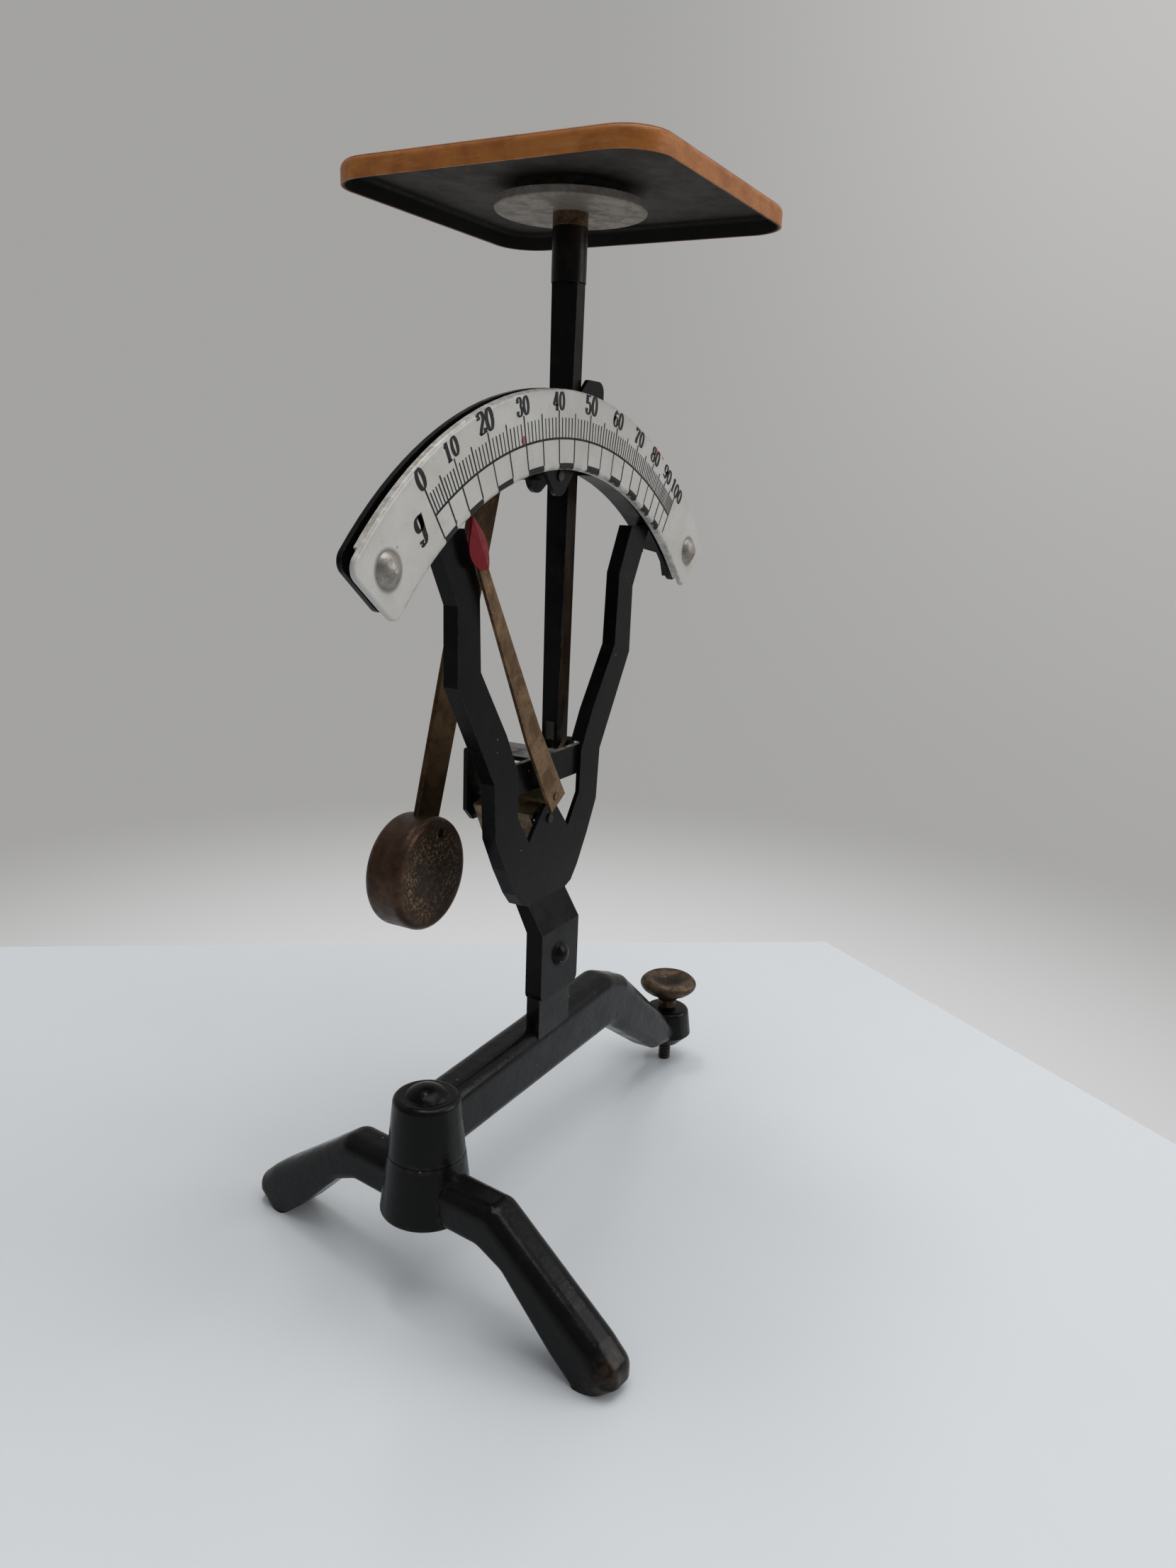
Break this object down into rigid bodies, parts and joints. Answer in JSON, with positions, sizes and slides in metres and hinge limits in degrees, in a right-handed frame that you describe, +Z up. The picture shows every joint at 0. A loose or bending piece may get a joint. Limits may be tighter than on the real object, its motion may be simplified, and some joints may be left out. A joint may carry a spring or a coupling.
{
  "type": "letter scale",
  "caption": "Pendulum letter scale: lyre-shaped frame with a printed arc, hanging weight, red-tipped pointer and square pan, on a cast stand with a turning foot and a levelling screw.",
  "frame": {"origin": "on the table, under the middle of the whole scale", "axes": "+X along the base bar towards the levelling screw, +Y to the back, +Z up; the printed arc faces -Y"},
  "size_m": [0.1447, 0.0954, 0.2139],
  "materials": {
    "black_lacquer": "worn satin black lacquer",
    "white_enamel": "aged white enamel with black print",
    "aged_brass": "dark brown patina",
    "dark_brass": "dark pitted patina",
    "copper_brown": "brown bronze lacquer",
    "plated_steel": "dull plating",
    "dark_steel": "dark oiled steel",
    "red_paint": "worn red paint"
  },
  "bodies": {
    "base": {"base_bar": "black_lacquer", "hub_rivet": "black_lacquer", "lyre_frame": "black_lacquer", "neck_rivet": "black_lacquer", "lower_bearing_bracket": "black_lacquer", "upper_bearing_bracket": "black_lacquer", "scale_plate": "white_enamel", "scale_spacers": "dark_steel", "scale_rivets": "plated_steel"},
    "foot": {"foot_casting": "black_lacquer"},
    "levelling_foot": {"levelling_screw": "dark_steel", "levelling_knob": "aged_brass"},
    "pendulum": {"upper_lever": "black_lacquer", "upper_pivot_shaft": "dark_steel", "upper_stem_pin": "dark_steel", "upper_stem_spacer": "dark_steel", "pendulum_arm": "aged_brass", "pendulum_rivets": "aged_brass", "pendulum_weight": "dark_brass", "weight_pin": "dark_brass"},
    "pointer_lever": {"lower_lever": "aged_brass", "lower_pivot_shaft": "dark_steel", "lower_stem_pin": "dark_steel", "lower_stem_spacer": "dark_steel", "pointer": "aged_brass", "pointer_rivet": "aged_brass", "pointer_tip": "red_paint"},
    "stem": {"stem": "black_lacquer"},
    "pan": {"pan_tray": "copper_brown", "pan_washer": "dark_steel", "pan_disc": "plated_steel", "pan_spigot": "aged_brass", "pan_rivet": "plated_steel"}
  },
  "joints": [
    {"name": "pendulum_swing", "type": "hinge", "parent": "base", "child": "pendulum", "pos_m": [-0.00623, 0.0075, 0.1575], "axis": [0, 1, 0], "range_deg": [-7, 64]},
    {"name": "pointer_swing", "type": "hinge", "parent": "base", "child": "pointer_lever", "pos_m": [-0.00623, 0.0075, 0.0875], "axis": [0, 1, 0], "range_deg": [-7, 64]},
    {"name": "stem_hinge", "type": "hinge", "parent": "pendulum", "child": "stem", "pos_m": [0.01047, 0.0075, 0.1693], "axis": [0, 1, 0], "range_deg": [-64, 7]},
    {"name": "pan_lift", "type": "slide", "parent": "stem", "child": "pan", "axis": [0, 0, 1], "range_m": [0, 0.012]},
    {"name": "foot_turn", "type": "hinge", "parent": "base", "child": "foot", "pos_m": [-0.04693, 0, 0.0298], "axis": [0, 0, 1], "range_deg": [-82, 98]},
    {"name": "levelling_screw_travel", "type": "slide", "parent": "base", "child": "levelling_foot", "axis": [0, 0, 1], "range_m": [-0.0005, 0.005]}
  ],
  "couplings": [
    {"joint": "pointer_swing", "follows": "pendulum_swing", "ratio": 1},
    {"joint": "stem_hinge", "follows": "pendulum_swing", "ratio": -1}
  ]
}
